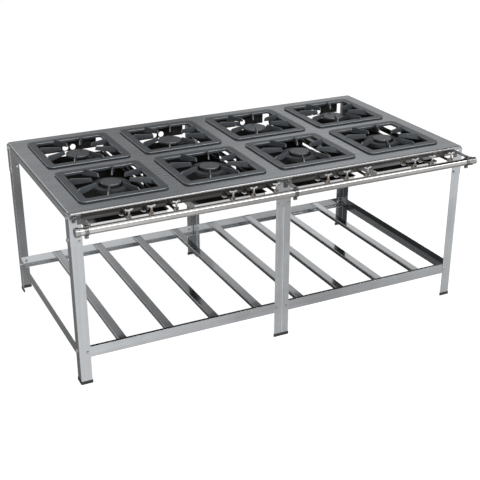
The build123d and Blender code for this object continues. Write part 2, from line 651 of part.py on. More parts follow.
def drip_tray(x):
    """Shallow tray that hangs from the runners by its two side flanges."""
    half_width = TRAY_WIDTH / 2
    y_low = FRONT_Y + TRAY_SETBACK
    y_high = y_low + TRAY_LENGTH
    low = TRAY_TOP - TRAY_HEIGHT
    middle = (0, (y_low + y_high) / 2)
    outer = Pos(*middle, low) * RectangleRounded(TRAY_WIDTH, TRAY_LENGTH, TRAY_CORNER)
    outer = extrude(outer, TRAY_HEIGHT)
    outer = fillet(outer.faces().sort_by(Axis.Z)[0].edges(), TRAY_BEND)
    flange_half = half_width + TRAY_FLANGE
    flange_low = (-flange_half, y_low + TRAY_CORNER, TRAY_TOP - TRAY_SHEET)
    flanges = span(flange_low, (flange_half, y_high - TRAY_CORNER, TRAY_TOP))
    inner_width = TRAY_WIDTH - 2 * TRAY_SHEET
    inner_length = TRAY_LENGTH - 2 * TRAY_SHEET
    inner = RectangleRounded(inner_width, inner_length, TRAY_CORNER - TRAY_SHEET)
    inner = extrude(Pos(*middle, low + TRAY_SHEET) * inner, TRAY_HEIGHT)
    inner = fillet(inner.faces().sort_by(Axis.Z)[0].edges(), TRAY_BEND - TRAY_SHEET)
    return Pos(x, 0, 0) * (outer + flanges - inner)


def tray_runner():
    """Right-hand runner of a column, a flat bar below the tray's flange."""
    return span((RUNNER_X - RUNNER_LEDGE, RUNNER_FRONT, LEDGE_LOW), (PLATE_X, RUNNER_BACK, LEDGE_TOP))


def side_bar():
    """Right-hand bar of a column, on edge at the ends of the burner straps."""
    low = (RUNNER_X, RUNNER_FRONT, SIDE_BAR_LOW)
    return span(low, (PLATE_X, RUNNER_BACK, SIDE_BAR_LOW + SIDE_BAR_HEIGHT))


def side_plate(near, far, near_foot, far_foot):
    """Right-hand plate of a column under the table, with a foot at each end that carries the runner."""
    outer_face = PLATE_X + PLATE_SHEET
    web = span((PLATE_X, near, SIDE_BAR_LOW), (outer_face, far, UNDERSIDE))
    flange = span((PLATE_X, near, UNDERSIDE - PLATE_SHEET), (PLATE_X + PLATE_FLANGE, far, UNDERSIDE))
    front_foot = span((PLATE_X, near, LEDGE_LOW), (outer_face, near + near_foot, UNDERSIDE))
    back_foot = span((PLATE_X, far - far_foot, LEDGE_LOW), (outer_face, far, UNDERSIDE))
    return web + flange + front_foot + back_foot


def side_plates():
    """A front and a back plate on each side of a column, with a window between them."""
    front = side_plate(RUNNER_FRONT, SIDE_WINDOW_FRONT, PLATE_END_FOOT, PLATE_WINDOW_FOOT)
    back = side_plate(SIDE_WINDOW_BACK, RUNNER_BACK, PLATE_WINDOW_FOOT, PLATE_END_FOOT)
    return each_side(front) + each_side(back)


def each_side(right):
    """A column's right-hand piece and its mirror image, at every column."""
    return [Pos(x, 0, 0) * piece for x in COLUMN_XS for piece in mirrored_pair(right)]


def burner_strap(x, y):
    half_width = STRAP_WIDTH / 2
    low = (x - RUNNER_X, y - half_width, BURNER_LOW - STRAP_THICK)
    return span(low, (x + RUNNER_X, y + half_width, BURNER_LOW))


def vent_plate(x):
    """Upright plate behind a back burner, with a pair of round holes."""
    half_width = VENT_WIDTH / 2
    plate_low = (x - half_width, VENT_Y, TABLE_HEIGHT - VENT_DROP)
    plate = span(plate_low, (x + half_width, VENT_Y + VENT_SHEET, UNDERSIDE))
    flange_low = (x - half_width, VENT_Y, UNDERSIDE - VENT_SHEET)
    flange = span(flange_low, (x + half_width, VENT_Y + VENT_FLANGE, UNDERSIDE))
    hole = INWARD * Cylinder(VENT_HOLE_RADIUS, 2 * OVERCUT)
    hole_xs = [x + VENT_HOLE_X + side * VENT_HOLE_SPACING / 2 for side in (-1, 1)]
    holes = [Pos(hole_x, VENT_Y, TABLE_HEIGHT - VENT_HOLE_DROP) * hole for hole_x in hole_xs]
    return plate + flange - holes


# Gas tube and its fittings

def valve_places():
    return [x + dx for x in COLUMN_XS for dx in VALVE_XS.values()]


def gas_tube():
    """Tube across the front with a boss for each valve."""
    length = TUBE_RIGHT - TUBE_LEFT
    frame = Pos(TUBE_LEFT, TUBE_Y, TUBE_Z) * SIDEWAYS
    rod = frame * Cylinder(TUBE_RADIUS, length, align=BOTTOM)
    boss = Cylinder(BOSS_RADIUS, TUBE_RADIUS + BOSS_LENGTH, align=BOTTOM)
    bosses = [along_y(boss, x, TUBE_Y) for x in valve_places()]
    return rod + bosses - frame * Cylinder(TUBE_BORE, length, align=BOTTOM)


def tube_plug():
    """Closing plug on the left end of the tube, made along -X from the tube's end."""
    head = Cylinder(FITTING_RADIUS, PLUG_LENGTH, align=BOTTOM)
    head = chamfer(head.edges().filter_by(GeomType.CIRCLE), FITTING_CHAMFER)
    spigot = Pos(0, 0, -SPIGOT_LENGTH) * Cylinder(TUBE_BORE - SPIGOT_CLEARANCE, SPIGOT_LENGTH, align=BOTTOM)
    return Pos(TUBE_LEFT, TUBE_Y, TUBE_Z) * Rot(0, -90, 0) * (head + spigot)


def gas_inlet():
    """Collar and threaded nipple on the right end of the tube, with a bore for the gas."""
    collar = Cylinder(FITTING_RADIUS, INLET_COLLAR_LENGTH, align=BOTTOM)
    collar = chamfer(collar.edges().filter_by(GeomType.CIRCLE), FITTING_CHAMFER)
    nipple = Pos(0, 0, INLET_COLLAR_LENGTH) * Cylinder(TUBE_RADIUS, INLET_NIPPLE_LENGTH, align=BOTTOM)
    spigot = Pos(0, 0, -SPIGOT_LENGTH) * Cylinder(TUBE_BORE - SPIGOT_CLEARANCE, SPIGOT_LENGTH, align=BOTTOM)
    length = SPIGOT_LENGTH + INLET_COLLAR_LENGTH + INLET_NIPPLE_LENGTH
    bore = Pos(0, 0, -SPIGOT_LENGTH) * Cylinder(INLET_BORE, length, align=BOTTOM)
    return Pos(TUBE_RIGHT, TUBE_Y, TUBE_Z) * SIDEWAYS * (collar + nipple + spigot - bore)


def screw_drill(reach):
    """Screw hole that reaches as far on both sides of its place."""
    return Cylinder(SCREW_RADIUS + SCREW_CLEARANCE, 2 * reach)


def tube_clamp(x):
    """Split band round the tube, with a flat pad on top and two pinched ears below."""
    outer_radius = TUBE_RADIUS + CLAMP_SHEET
    half_width = CLAMP_WIDTH / 2
    ear_low = TUBE_Z - outer_radius - CLAMP_EAR

    def across(half_depth, low, high):
        """Block as wide as the clamp, from one height to another."""
        return span((-half_width, -half_depth, low), (half_width, half_depth, high))

    band = Pos(0, 0, TUBE_Z) * SIDEWAYS * Cylinder(outer_radius, CLAMP_WIDTH)
    pad = across(half_width, TUBE_Z, CLAMP_TOP)
    ears = across(EAR_SPREAD, ear_low, TUBE_Z)
    bore = Pos(0, 0, TUBE_Z) * SIDEWAYS * Cylinder(TUBE_RADIUS + CLAMP_CLEARANCE, CLAMP_WIDTH)
    gap = across(CLAMP_GAP / 2, ear_low, TUBE_Z)
    pad_hole = Pos(0, 0, CLAMP_TOP) * screw_drill(SCREW_DEPTH + SCREW_CLEARANCE)
    pinch_hole = Pos(0, 0, PINCH_Z) * INWARD * screw_drill(EAR_SPREAD + OVERCUT)
    return Pos(x, TUBE_Y, 0) * (band + pad + ears - bore - gap - pad_hole - pinch_hole)


def tube_bracket(x):
    """Flat bar over a clamp, bent down into a tab on the face of the leg's top plate."""
    half_width = BRACKET_WIDTH / 2
    tab_back = FRONT_Y - POST_SHEET
    length = tab_back - TUBE_Y + BRACKET_NOSE
    bar = angle_bar(length, BRACKET_TAB, BRACKET_SHEET, BRACKET_SHEET, BRACKET_WIDTH)
    origin = (x - half_width, tab_back, CLAMP_TOP + BRACKET_SHEET)
    laid = Plane(origin=origin, x_dir=(0, -1, 0), z_dir=(1, 0, 0)) * bar
    return laid - Pos(x, TUBE_Y, CLAMP_TOP) * screw_drill(BRACKET_SHEET + OVERCUT)


def clamp_screws():
    """A screw down through each bracket into its clamp, and a pinch screw across the clamp's ears."""
    made = []
    pinch_grip = 2 * EAR_SPREAD
    for x in CLAMP_XS:
        head = hexagon_bar(SCREW_ACROSS_FLATS, SCREW_HEAD)
        shank_length = BRACKET_SHEET + SCREW_DEPTH
        shank = Pos(0, 0, -shank_length) * Cylinder(SCREW_RADIUS, shank_length, align=BOTTOM)
        made.append(Pos(x, TUBE_Y, CLAMP_TOP + BRACKET_SHEET) * (head + shank))
        nut = Pos(0, 0, pinch_grip) * hexagon_bar(SCREW_ACROSS_FLATS, SCREW_HEAD)
        pinch_head = Pos(0, 0, -SCREW_HEAD) * hexagon_bar(SCREW_ACROSS_FLATS, SCREW_HEAD)
        pinch = pinch_head + nut + Cylinder(SCREW_RADIUS, pinch_grip, align=BOTTOM)
        made.append(Pos(x, TUBE_Y - EAR_SPREAD, PINCH_Z) * INWARD * pinch)
    return made


# Valves, pipes and injectors

def valve_body(x):
    """Tapered plug valve between its boss on the tube and its outlet, with a blind bore for the spindle."""
    cone = Cone(VALVE_BOTTOM_RADIUS, VALVE_TOP_RADIUS, VALVE_RISE + VALVE_SINK, align=BOTTOM)
    cone = Pos(x, VALVE_Y, TUBE_Z - VALVE_SINK) * cone
    boss_end = TUBE_Y + TUBE_RADIUS + BOSS_LENGTH
    inlet = along_y(Cylinder(VALVE_INLET_RADIUS, VALVE_Y - boss_end, align=BOTTOM), x, boss_end)
    outlet = along_y(hexagon_bar(VALVE_OUTLET_FLATS, VALVE_OUTLET_LENGTH), x, VALVE_Y)
    bore = Cylinder(SPINDLE_RADIUS + SPINDLE_CLEARANCE, SPINDLE_DEPTH, align=BOTTOM)
    return cone + inlet + outlet - Pos(x, VALVE_Y, VALVE_TOP - SPINDLE_DEPTH) * bore


def valve_handle(x):
    """Handle with two raised wings on its spindle, which stands on the floor of the valve's bore."""
    spindle_length = SPINDLE_DEPTH + HANDLE_HUB_HEIGHT
    spindle = Pos(0, 0, -SPINDLE_DEPTH) * Cylinder(SPINDLE_RADIUS, spindle_length, align=BOTTOM)
    hub = Cylinder(HANDLE_HUB_RADIUS, HANDLE_HUB_HEIGHT, align=BOTTOM)
    reach = (HANDLE_LENGTH - HANDLE_WIDTH) / 2
    tip = (reach, HANDLE_HUB_HEIGHT + HANDLE_RISE)
    middle = (reach / 2, HANDLE_HUB_HEIGHT + HANDLE_RISE / 2)
    wing = extrude(Plane.XZ * SlotCenterPoint(middle, tip, HANDLE_WIDTH), HANDLE_THICK / 2, both=True)
    wing_sides = wing.faces().sort_by(Axis.Y)
    wing = fillet(wing_sides[0].edges() + wing_sides[-1].edges(), HANDLE_ROUND)
    return Pos(x, VALVE_Y, VALVE_TOP) * (spindle + hub + wing + mirror(wing, Plane.YZ))


def mouth_place(x, kind):
    """Middle of the burner mouth that a column's valve of this kind feeds."""
    if kind == "back":
        return x + BACK_MOUTH_X, BACK_MOUTH_Y
    return x + VALVE_XS[kind], MOUTH_Y


def supply_pipe(x, kind):
    """Pipe from a valve's outlet to its injector. A back burner's pipe steps sideways to its mouth."""
    end_x, mouth_y = mouth_place(x, kind)
    end_y = mouth_y + INJECTOR_REACH - INJECTOR_LENGTH
    if kind != "back":
        return along_y(Cylinder(PIPE_RADIUS, end_y - VALVE_OUTLET_Y, align=BOTTOM), end_x, VALVE_OUTLET_Y)
    start_x = x + VALVE_X_BACK
    step_end = end_y - BACK_PIPE_LEAD
    step_start = step_end - abs(start_x - end_x)
    places = [(start_x, VALVE_OUTLET_Y), (start_x, step_start), (end_x, step_end), (end_x, end_y)]
    points = [(*place, TUBE_Z) for place in places]
    path = FilletPolyline(*points, radius=BACK_PIPE_BEND)
    return sweep(Plane(origin=points[0], z_dir=(0, 1, 0)) * Circle(BACK_PIPE_RADIUS), path=path)


def injector(x, kind):
    """Hexagon with a nose that reaches a little way into the burner's mouth."""
    mouth_x, mouth_y = mouth_place(x, kind)
    start_y = mouth_y + INJECTOR_REACH - INJECTOR_LENGTH
    nose_length = INJECTOR_LENGTH - INJECTOR_HEX
    nose = Pos(0, 0, INJECTOR_HEX) * Cone(INJECTOR_FLATS / 2, INJECTOR_TIP_RADIUS, nose_length, align=BOTTOM)
    return along_y(hexagon_bar(INJECTOR_FLATS, INJECTOR_HEX) + nose, mouth_x, start_y)


def main():
    save("tabletop", [tabletop()])
    save("leg_top_plates", leg_top_plates())
    save("corner_legs", [frame * corner_leg() for frame in CORNERS.values()])
    save("middle_legs", [frame * half for frame in MIDDLES.values() for half in middle_leg()])
    save("foot_caps", foot_caps())
    for name, frame in MIDDLES.items():
        save(f"{name}_shelf_rails", long_rails(frame))
    save("side_shelf_rails", side_rails())
    save("shelf_slats", shelf_slats())
    save("frame_bolts", frame_bolts())
    save("tray_runners", each_side(tray_runner()))
    save("side_bars", each_side(side_bar()))
    save("side_plates", side_plates())
    save("burner_straps", [burner_strap(x, y) for x, y in burner_places()])
    save("vent_plates", [vent_plate(x) for x in COLUMN_XS])
    save("gas_tube", [gas_tube()])
    save("tube_plug", [tube_plug()])
    save("gas_inlet", [gas_inlet()])
    save("tube_clamps", [tube_clamp(x) for x in CLAMP_XS])
    save("tube_brackets", [tube_bracket(x) for x in CLAMP_XS])
    save("clamp_screws", clamp_screws())
    save("valve_bodies", [valve_body(x) for x in valve_places()])
    save("supply_pipes", [supply_pipe(x, kind) for x in COLUMN_XS for kind in VALVE_XS])
    save("injectors", [injector(x, kind) for x in COLUMN_XS for kind in VALVE_XS])
    save("centre_burners", [centre_burner(x) for x in COLUMN_XS])
    save("ring_burners", [ring_burner(x) for x in COLUMN_XS])
    save("back_burners", [back_burner(x) for x in COLUMN_XS])
    one_grate = grate()
    centre_cap = burner_cap(CENTRE_CAP_RADIUS, CENTRE_FOOT_RADIUS, CENTRE_BOWL_RADIUS, CENTRE_TOP)
    back_cap = burner_cap(BACK_CAP_RADIUS, BACK_FOOT_RADIUS, BACK_BOWL_RADIUS, BACK_TOP)
    for n, x in enumerate(COLUMN_XS, 1):
        save(f"front_grate_{n}", [Pos(x, FRONT_ROW_Y, 0) * one_grate])
        save(f"back_grate_{n}", [Pos(x, BACK_ROW_Y, 0) * one_grate])
        save(f"centre_cap_{n}", [Pos(x, FRONT_ROW_Y, 0) * centre_cap])
        save(f"back_cap_{n}", [Pos(x, BACK_ROW_Y, 0) * back_cap])
        save(f"drip_tray_{n}", [drip_tray(x)])
        for kind, dx in VALVE_XS.items():
            save(f"{kind}_valve_handle_{n}", [valve_handle(x + dx)])


main()
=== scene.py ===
"""Looks of a free-standing industrial gas stove: finishes, rail hems, floor, studio light and camera.

Metres, +Z up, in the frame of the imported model.
"""
import math
from collections import namedtuple

import bpy
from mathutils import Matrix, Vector


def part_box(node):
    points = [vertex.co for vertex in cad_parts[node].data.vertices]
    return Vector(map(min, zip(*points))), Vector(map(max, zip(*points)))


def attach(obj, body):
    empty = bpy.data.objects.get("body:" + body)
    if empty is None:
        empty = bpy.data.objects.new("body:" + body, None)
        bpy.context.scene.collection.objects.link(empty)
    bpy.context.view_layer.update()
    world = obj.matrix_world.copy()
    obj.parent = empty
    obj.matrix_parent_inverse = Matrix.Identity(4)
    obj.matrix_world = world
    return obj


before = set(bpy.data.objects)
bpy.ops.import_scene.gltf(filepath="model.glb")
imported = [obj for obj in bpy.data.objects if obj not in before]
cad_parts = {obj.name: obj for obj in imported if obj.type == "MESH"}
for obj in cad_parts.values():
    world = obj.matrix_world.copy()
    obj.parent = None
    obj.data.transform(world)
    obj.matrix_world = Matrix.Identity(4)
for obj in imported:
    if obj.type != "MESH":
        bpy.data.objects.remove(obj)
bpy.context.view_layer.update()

# Camera, with its angles in degrees and its lens and sensor in millimetres
CAMERA_PLACE = (-1.9007, -3.8852, 2.2368)
CAMERA_TILT = 65.9884
CAMERA_TURN = -26.199
CAMERA_LENS = 70.76
CAMERA_SENSOR = 36.0

# Floor. A glow is how bright a face looks, with 1 for white.
WHITE = (1.0, 1.0, 1.0, 1.0)
FLOOR_SIZE = 600.0
FLOOR_COLOUR = (0.3, 0.3, 0.3, 1.0)
FLOOR_ROUGHNESS = 0.9
FLOOR_SHINE = 0.1
FLOOR_GLOW = 0.9

# Lamps. The fill lights the iron without being mirrored in the steel.
UNMIRRORED = ("front_fill",)
LAMPS = {
    "ceiling_softbox": {"place": (0.0, -1.9, 4.6), "aim": (0.0, -1.8, 0.0), "size": (7.0, 4.2), "glow": 0.75},
    "strip_softbox": {"place": (0.9, -3.2, 3.6), "aim": (0.2, -0.2, 0.8), "size": (6.0, 0.8), "glow": 6.0},
    "right_softbox": {"place": (3.6, 4.6, 2.2), "aim": (0.6, 0.1, 0.8), "size": (3.0, 2.0), "glow": 0.15},
    "front_fill": {"place": (-0.6, -5.5, 2.0), "aim": (-0.3, 0.0, 0.5), "size": (4.0, 2.4), "glow": 4.5},
}

# Sky, as patches on an even wall. Each patch has a glow and ramps. A ramp runs along a way from a start to an
# end, and multiplies the glow by one share before it and by another after it. Where a second ramp undoes a
# first, the patch has a dip.
Ramp = namedtuple("Ramp", "way start end before after")
WALL_GLOW = 0.075
BELOW_EYES = Ramp("up", 0.0, 0.2, 1.0, 0.0)
BACK_RAMPS = [
    Ramp("back", 0.3, 0.8, 0.0, 1.0),
    Ramp("up", 0.18, 0.34, 0.0, 1.0),
    Ramp("up", 0.4, 0.58, 1.0, 0.0),
    Ramp("right", 0.18, 0.3, 1.0, 0.5),
    Ramp("right", 0.36, 0.48, 1.0, 2.0),
]
FRONT_RAMPS = [
    Ramp("back", -0.75, -0.35, 1.0, 0.0),
    Ramp("up", 0.3, 0.7, 1.0, 0.4),
    Ramp("right", 0.25, 0.42, 1.0, 0.5),
    Ramp("right", 0.5, 0.64, 1.0, 2.0),
]
LOW_BACK_RAMPS = [
    Ramp("back", 0.79, 0.87, 0.0, 1.0),
    Ramp("up", -0.5, -0.05, 1.0, 0.0),
]
SKY = {
    "overhead": {"glow": 0.3, "ramps": [Ramp("up", 0.8, 0.95, 0.0, 1.0)]},
    "ground": {"glow": 0.4, "ramps": [Ramp("up", -0.85, -0.5, 1.0, 0.0)]},
    "front": {"glow": 1.0, "ramps": FRONT_RAMPS},
    "low_back": {"glow": 0.24, "ramps": LOW_BACK_RAMPS},
    "high_back": {"glow": 0.78, "ramps": BACK_RAMPS},
    "back_left": {"glow": 1.092, "ramps": BACK_RAMPS + [Ramp("right", -0.3, 0.0, 1.0, 0.0)]},
    "flanks": {"glow": 0.7, "ramps": [Ramp("side", 0.62, 0.7, 0.0, 1.0), BELOW_EYES]},
    "rear": {"glow": 0.6, "ramps": [Ramp("back", 0.94, 0.98, 0.0, 1.0), BELOW_EYES]},
}

# The table's sheet, with a rolled edge between its brushed top and its skirt
TABLE_LEFT, TABLE_FRONT, SKIRT_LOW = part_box("tabletop")[0]
TABLE_RIGHT, TABLE_BACK, TABLE_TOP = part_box("tabletop")[1]
TABLE_MIDDLE = (TABLE_LEFT + TABLE_RIGHT) / 2
TABLE_CENTRE = (TABLE_MIDDLE, (TABLE_FRONT + TABLE_BACK) / 2, TABLE_TOP)
ROLL_DEPTH = 0.010
ROLL_INSET = 0.001
ROLL_FADE = 0.0015
ROLL_LOW = TABLE_TOP - ROLL_DEPTH
ROLL_HIGH = TABLE_TOP - ROLL_INSET

# A drip tray's painted shade inside stops short of its left end, where light comes in from the side
UNSHADED_END = 0.055
UNSHADED_FADE = 0.01

# The bright air shutters on the front burners' mouths
SHUTTER_LENGTH = 0.03
MOUTH_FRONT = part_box("centre_burners")[0][1]
SHUTTER_END = MOUTH_FRONT + SHUTTER_LENGTH

# The hems along the tops of the front shelf rails
HEM_DEPTH = 0.013
HEM_SHEET = 0.002
HEM_END = 0.02

# Tints of the steel, how bright its edges are, and how far brushing and marks change its roughness
STEEL_TINT = -0.03
TABLE_TINT = -0.05
# Tint of the painted reflection on the front skirt
SKIRT_REFLECTION_TINT = 0.04
SMUDGE_SHARE = 0.6
BRUSHED_EDGE_GAIN = 1.4
POLISHED_EDGE_GAIN = 1.2
BRUSHING_STEP = 0.06
WIPED_STEP = -0.03
SMUDGED_STEP = 0.05
WIPED_SHARE = 0.6
PRINTED_SHARE = 1.5

# Tints of the iron, and how metallic it is on the shutters and where it is worn, the worn colour partly a
# painted highlight
IRON_TINT = -0.12
BURNER_TINT = -0.08
RUBBED_HIGHLIGHT_TINT = -0.06
RUBBED_HIGHLIGHT_METAL = 0.8
SHUTTER_METAL = 0.5

# Directions of the brushing
ALONG_X = (1.0, 0.0, 0.0)
ALONG_Y = (0.0, 1.0, 0.0)
ALONG_Z = (0.0, 0.0, 1.0)


class Tree:
    """The node tree of a material or a world, with short ways to make its nodes."""

    def __init__(self, owner):
        owner.use_nodes = True
        self.nodes = owner.node_tree.nodes
        self.links = owner.node_tree.links

    def connect(self, value, socket):
        """Links an output to a socket, or sets the socket to a value."""
        if isinstance(value, bpy.types.NodeSocket):
            self.links.new(value, socket)
        else:
            socket.default_value = value

    def node(self, kind, inputs=None, **settings):
        """A new node with its settings and its inputs."""
        made = self.nodes.new(kind)
        for name, value in settings.items():
            setattr(made, name, value)
        for name, value in (inputs or {}).items():
            self.connect(value, made.inputs[name])
        return made

    def ranged(self, value, low=0.0, high=1.0, start=0.3, end=0.7):
        """A value from start to end, spread from low to high. Left alone, start and end suit noise."""
        inputs = {"Value": value, "From Min": start, "From Max": end, "To Min": low, "To Max": high}
        return self.node("ShaderNodeMapRange", inputs).outputs["Result"]

    def mixed(self, factor, first, second):
        """Colour between two, each given as a colour or an output."""
        made = self.node("ShaderNodeMix", data_type="RGBA")
        for value, name in ((factor, "Factor_Float"), (first, "A_Color"), (second, "B_Color")):
            self.connect(value, next(socket for socket in made.inputs if socket.identifier == name))
        return next(socket for socket in made.outputs if socket.identifier == "Result_Color")

    def sums(self, operation, first, second=0.0):
        """The result of an operation on one value or on two."""
        return self.node("ShaderNodeMath", {0: first, 1: second}, operation=operation).outputs["Value"]

    def between(self, factor, first, second):
        """A value from first to second, as a factor goes from 0 to 1."""
        step = self.sums("SUBTRACT", second, first)
        return self.sums("ADD", first, self.sums("MULTIPLY", factor, step))

    def axis(self, vector, name):
        """One coordinate of a vector."""
        return self.node("ShaderNodeSeparateXYZ", {"Vector": vector}).outputs[name]


class Finish(Tree):
    """A procedural material, with short ways to make what the finishes here share."""

    def __init__(self, name, **sockets):
        self.material = bpy.data.materials.new(name)
        super().__init__(self.material)
        self.shader = self.nodes["Principled BSDF"]
        self.place = self.nodes.new("ShaderNodeTexCoord").outputs["Object"]
        self.normal = None
        for socket, value in sockets.items():
            self.shader.inputs[socket.replace("_", " ")].default_value = value

    def noise(self, cells, detail=3.0):
        """Noise from 0 to 1, with its cells per metre given for each axis or for all."""
        scales = (cells,) * 3 if isinstance(cells, float) else cells
        stretched = self.node("ShaderNodeMapping", {"Vector": self.place, "Scale": scales})
        inputs = {"Vector": stretched.outputs["Vector"], "Scale": 1.0, "Detail": detail}
        return self.node("ShaderNodeTexNoise", inputs).outputs["Fac"]

    def brushed(self, direction, along, across):
        """Noise drawn out into lines along a direction."""
        return self.noise(tuple(along if step else across for step in direction), detail=2.0)

    def past(self, name, start, end):
        """0 before a start and 1 past an end, along an axis."""
        return self.ranged(self.axis(self.place, name), start=start, end=end)

    def facing(self):
        """The way that a face looks."""
        return self.node("ShaderNodeNewGeometry").outputs["Normal"]

    def dot(self, first, second):
        """How far two directions agree."""
        made = self.node("ShaderNodeVectorMath", {0: first, 1: second}, operation="DOT_PRODUCT")
        return made.outputs["Value"]

    def inward(self, centre):
        """1 on faces that look towards a centre and 0 on those that look away."""
        way = self.node("ShaderNodeVectorMath", {0: centre, 1: self.place}, operation="SUBTRACT")
        return self.sums("GREATER_THAN", self.dot(self.facing(), way.outputs["Vector"]))

    def rounded(self, radius):
        """The way that a face looks, with its edges rounded."""
        return self.node("ShaderNodeBevel", {"Radius": radius}, samples=6).outputs["Normal"]

    def edges(self, radius, full=0.12):
        """1 along sharp edges and 0 on flat faces."""
        return self.ranged(self.dot(self.rounded(radius), self.facing()), start=1.0, end=1.0 - full)

    def shades(self, pattern, dark, light, tint=0.0):
        """Greys from dark to light, after a pattern."""
        return self.mixed(self.ranged(pattern), grey(dark, tint), grey(light, tint))

    def round_edges(self, radius):
        """Rounds the edges that the bumps lie on."""
        self.normal = self.rounded(radius)

    def bump(self, height, strength, depth):
        """Lays a bump over those before it."""
        inputs = {"Height": height, "Strength": strength, "Distance": depth}
        if self.normal:
            inputs["Normal"] = self.normal
        self.normal = self.node("ShaderNodeBump", inputs).outputs["Normal"]
        self.connect(self.normal, self.shader.inputs["Normal"])

    def colour(self, value):
        """Sets the colour all over, or from an output."""
        self.connect(value, self.shader.inputs["Base Color"])

    def roughness(self, value):
        """Sets how dull the surface is."""
        self.connect(value, self.shader.inputs["Roughness"])

    def metal(self, value):
        """Sets how metallic the surface is."""
        self.connect(value, self.shader.inputs["Metallic"])


def grey(value, tint=0.0):
    """Neutral colour, shifted a little towards yellow, or towards blue if the tint is below 0."""
    return (value * (1 + tint), value, value * (1 - tint), 1.0)


def brushed_steel(name, direction, dark, light, rough, inner_shade=None):
    """Satin stainless sheet with brushing, smudges and bright edges, and if given a painted shade: a darker
    grey on faces that look towards the table's centre.
    """
    made = Finish(name, Metallic=1.0)
    lines = made.brushed(direction, along=6.0, across=900.0)
    streaks = made.brushed(direction, along=1.5, across=60.0)
    smudges = made.noise(cells=7.0, detail=4.0)
    sheet = made.shades(made.between(SMUDGE_SHARE, streaks, smudges), dark, light, STEEL_TINT)
    # Painted shade: faces that look towards the table's centre get a darker grey
    if inner_shade:
        sheet = made.mixed(made.inward(TABLE_CENTRE), sheet, grey(inner_shade, STEEL_TINT))
    bright = grey(light * BRUSHED_EDGE_GAIN, STEEL_TINT)
    made.colour(made.mixed(made.edges(radius=0.0012), sheet, bright))
    fine = made.ranged(lines, low=rough - BRUSHING_STEP, high=rough + BRUSHING_STEP)
    made.roughness(made.sums("ADD", fine, made.ranged(smudges, low=WIPED_STEP, high=SMUDGED_STEP)))
    made.round_edges(radius=0.0008)
    made.bump(lines, strength=0.03, depth=0.0002)
    made.bump(streaks, strength=0.03, depth=0.0008)
    return made.material


def table_steel():
    """The table's sheet: brushed on top, bright on its rolled edge, and on its front skirt a painted
    reflection: a dark mirror colour, lighter up the skirt and towards the right end.
    """
    made = Finish("table_steel", Metallic=0.9)
    lines = made.brushed(ALONG_X, along=6.0, across=900.0)
    streaks = made.brushed(ALONG_X, along=1.2, across=45.0)
    smudges = made.noise(cells=5.0, detail=4.0)
    tone = made.between(SMUDGE_SHARE, streaks, smudges)
    top = made.shades(tone, dark=0.3, light=0.42, tint=TABLE_TINT)
    sides = made.shades(tone, dark=0.5, light=0.6, tint=STEEL_TINT)
    up_the_skirt = made.past("Z", SKIRT_LOW, ROLL_LOW)
    # Painted reflection: the front skirt is coloured dark, lighter up the skirt and towards the right end
    mirror = made.mixed(up_the_skirt, grey(0.05, SKIRT_REFLECTION_TINT), grey(0.14, SKIRT_REFLECTION_TINT))
    to_the_right = made.past("X", TABLE_MIDDLE, TABLE_RIGHT)
    mirror = made.mixed(to_the_right, mirror, grey(0.25))
    away_from_front = made.ranged(made.axis(made.facing(), "Y"), start=-0.9, end=-0.6)
    skirt = made.mixed(away_from_front, mirror, sides)
    above_skirt = made.past("Z", ROLL_LOW, ROLL_LOW + ROLL_FADE)
    above_roll = made.past("Z", ROLL_HIGH - ROLL_FADE, ROLL_HIGH)
    made.colour(made.mixed(above_skirt, skirt, made.mixed(above_roll, grey(0.36), top)))
    skirt_rough = made.ranged(smudges, low=0.04, high=0.08)
    top_rough = made.ranged(lines, low=0.2, high=0.3)
    made.roughness(made.between(above_skirt, skirt_rough, top_rough))
    made.bump(lines, strength=0.04, depth=0.0002)
    made.bump(streaks, strength=0.03, depth=0.0008)
    return made.material


def tray_steel(tray):
    """A drip tray's sheet: bright outside, and dark inside with painted shade, except near its left end."""
    low, high = (Vector(corner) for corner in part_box(tray))
    made = Finish(tray + "_steel", Metallic=0.85)
    lines = made.brushed(ALONG_X, along=6.0, across=700.0)
    stains = made.noise(cells=16.0, detail=5.0)
    unshaded_to = low.x + UNSHADED_END
    past_unshaded_end = made.past("X", unshaded_to, unshaded_to + UNSHADED_FADE)
    inside = made.sums("MULTIPLY", made.inward((low + high) / 2), past_unshaded_end)
    bright = made.shades(stains, dark=0.66, light=0.78)
    # Painted shade: the inside of the tray is coloured near black
    painted_shade = made.mixed(made.ranged(stains), grey(0.012, tint=0.05), grey(0.045, tint=0.1))
    made.colour(made.mixed(inside, bright, painted_shade))
    bright_rough = made.ranged(lines, low=0.16, high=0.28)
    inside_rough = made.ranged(stains, low=0.38, high=0.62)
    made.roughness(made.between(inside, bright_rough, inside_rough))
    made.bump(lines, strength=0.08, depth=0.0002)
    made.bump(stains, strength=0.06, depth=0.001)
    return made.material


def polished_metal(name, direction, dark, light, rough, tint=0.0):
    """Plated or polished metal with faint draw lines and fingerprints."""
    made = Finish(name, Metallic=1.0)
    lines = made.brushed(direction, along=3.0, across=500.0)
    prints = made.noise(cells=30.0, detail=4.0)
    sheet = made.shades(prints, dark, light, tint)
    made.colour(made.mixed(made.edges(radius=0.0008), sheet, grey(light * POLISHED_EDGE_GAIN, tint)))
    made.roughness(made.ranged(prints, low=rough * WIPED_SHARE, high=rough * PRINTED_SHARE))
    made.round_edges(radius=0.0006)
    made.bump(lines, strength=0.03, depth=0.0002)
    return made.material


